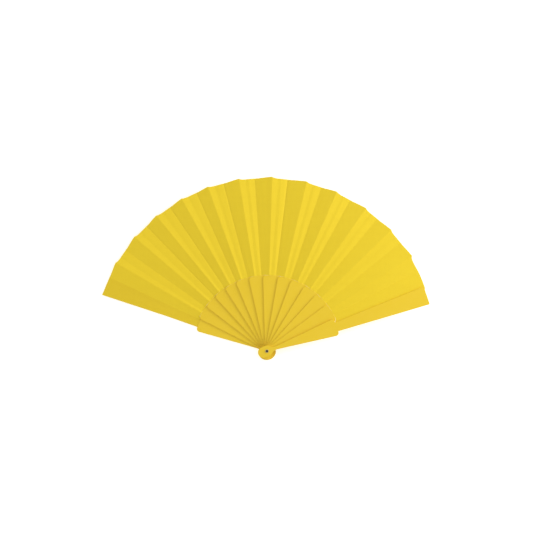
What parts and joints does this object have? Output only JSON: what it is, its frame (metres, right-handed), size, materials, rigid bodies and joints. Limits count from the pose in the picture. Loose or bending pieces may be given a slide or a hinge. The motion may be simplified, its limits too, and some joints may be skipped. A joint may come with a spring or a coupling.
{
  "type": "folding hand fan",
  "caption": "Folding hand fan, spread open: flat plastic sticks and two guards turn on one rivet, with a pleated cloth leaf glued to their ribs.",
  "frame": {"origin": "on the rivet's axis, at the outer face of the back guard that the open fan lies on", "axes": "+Z along the rivet, from the back guard to the front guard; +Y up the middle of the open fan; +X towards the front guard's side"},
  "size_m": [0.4116, 0.2304, 0.0168],
  "materials": {
    "plastic": "satin injection-moulded yellow plastic",
    "cloth": "plain-woven yellow polyester",
    "rivet_metal": "nickel-plated"
  },
  "bodies": {
    "back_guard": {"back_guard": "plastic", "rivet_pin": "rivet_metal", "rivet_washer": "rivet_metal", "leaf_panel_00": "cloth"},
    "stick_01": {"stick_01": "plastic", "leaf_panel_01": "cloth", "leaf_fold_01": "cloth"},
    "stick_02": {"stick_02": "plastic", "leaf_panel_02": "cloth", "leaf_fold_02": "cloth"},
    "stick_03": {"stick_03": "plastic", "leaf_panel_03": "cloth", "leaf_fold_03": "cloth"},
    "stick_04": {"stick_04": "plastic", "leaf_panel_04": "cloth", "leaf_fold_04": "cloth"},
    "stick_05": {"stick_05": "plastic", "leaf_panel_05": "cloth", "leaf_fold_05": "cloth"},
    "stick_06": {"stick_06": "plastic", "leaf_panel_06": "cloth", "leaf_fold_06": "cloth"},
    "stick_07": {"stick_07": "plastic", "leaf_panel_07": "cloth", "leaf_fold_07": "cloth"},
    "stick_08": {"stick_08": "plastic", "leaf_panel_08": "cloth", "leaf_fold_08": "cloth"},
    "stick_09": {"stick_09": "plastic", "leaf_panel_09": "cloth", "leaf_fold_09": "cloth"},
    "stick_10": {"stick_10": "plastic", "leaf_panel_10": "cloth", "leaf_fold_10": "cloth"},
    "stick_11": {"stick_11": "plastic", "leaf_panel_11": "cloth", "leaf_fold_11": "cloth"},
    "stick_12": {"stick_12": "plastic", "leaf_panel_12": "cloth", "leaf_fold_12": "cloth"},
    "front_guard": {"front_guard": "plastic", "leaf_panel_13": "cloth", "leaf_fold_13": "cloth"}
  },
  "joints": [
    {"name": "pivot_01", "type": "hinge", "parent": "back_guard", "child": "stick_01", "pos_m": [0, 0, 0], "axis": [0, 0, 1], "range_deg": [0, 10.5], "deforming": ["leaf_fold_01"]},
    {"name": "pivot_02", "type": "hinge", "parent": "stick_01", "child": "stick_02", "pos_m": [0, 0, 0], "axis": [0, 0, 1], "range_deg": [0, 10.5], "deforming": ["leaf_fold_02"]},
    {"name": "pivot_03", "type": "hinge", "parent": "stick_02", "child": "stick_03", "pos_m": [0, 0, 0], "axis": [0, 0, 1], "range_deg": [0, 10], "deforming": ["leaf_fold_03"]},
    {"name": "pivot_04", "type": "hinge", "parent": "stick_03", "child": "stick_04", "pos_m": [0, 0, 0], "axis": [0, 0, 1], "range_deg": [0, 10], "deforming": ["leaf_fold_04"]},
    {"name": "pivot_05", "type": "hinge", "parent": "stick_04", "child": "stick_05", "pos_m": [0, 0, 0], "axis": [0, 0, 1], "range_deg": [0, 9.5], "deforming": ["leaf_fold_05"]},
    {"name": "pivot_06", "type": "hinge", "parent": "stick_05", "child": "stick_06", "pos_m": [0, 0, 0], "axis": [0, 0, 1], "range_deg": [0, 10.5], "deforming": ["leaf_fold_06"]},
    {"name": "pivot_07", "type": "hinge", "parent": "stick_06", "child": "stick_07", "pos_m": [0, 0, 0], "axis": [0, 0, 1], "range_deg": [0, 11], "deforming": ["leaf_fold_07"]},
    {"name": "pivot_08", "type": "hinge", "parent": "stick_07", "child": "stick_08", "pos_m": [0, 0, 0], "axis": [0, 0, 1], "range_deg": [0, 11.5], "deforming": ["leaf_fold_08"]},
    {"name": "pivot_09", "type": "hinge", "parent": "stick_08", "child": "stick_09", "pos_m": [0, 0, 0], "axis": [0, 0, 1], "range_deg": [0, 10.5], "deforming": ["leaf_fold_09"]},
    {"name": "pivot_10", "type": "hinge", "parent": "stick_09", "child": "stick_10", "pos_m": [0, 0, 0], "axis": [0, 0, 1], "range_deg": [0, 11], "deforming": ["leaf_fold_10"]},
    {"name": "pivot_11", "type": "hinge", "parent": "stick_10", "child": "stick_11", "pos_m": [0, 0, 0], "axis": [0, 0, 1], "range_deg": [0, 11], "deforming": ["leaf_fold_11"]},
    {"name": "pivot_12", "type": "hinge", "parent": "stick_11", "child": "stick_12", "pos_m": [0, 0, 0], "axis": [0, 0, 1], "range_deg": [0, 11], "deforming": ["leaf_fold_12"]},
    {"name": "pivot_13", "type": "hinge", "parent": "stick_12", "child": "front_guard", "pos_m": [0, 0, 0], "axis": [0, 0, 1], "range_deg": [0, 11.5], "deforming": ["leaf_fold_13"]}
  ],
  "couplings": [
    {"joint": "pivot_02", "follows": "pivot_01", "ratio": 1},
    {"joint": "pivot_03", "follows": "pivot_01", "ratio": 0.95238},
    {"joint": "pivot_04", "follows": "pivot_01", "ratio": 0.95238},
    {"joint": "pivot_05", "follows": "pivot_01", "ratio": 0.90476},
    {"joint": "pivot_06", "follows": "pivot_01", "ratio": 1},
    {"joint": "pivot_07", "follows": "pivot_01", "ratio": 1.0476},
    {"joint": "pivot_08", "follows": "pivot_01", "ratio": 1.0952},
    {"joint": "pivot_09", "follows": "pivot_01", "ratio": 1},
    {"joint": "pivot_10", "follows": "pivot_01", "ratio": 1.0476},
    {"joint": "pivot_11", "follows": "pivot_01", "ratio": 1.0476},
    {"joint": "pivot_12", "follows": "pivot_01", "ratio": 1.0476},
    {"joint": "pivot_13", "follows": "pivot_01", "ratio": 1.0952}
  ]
}
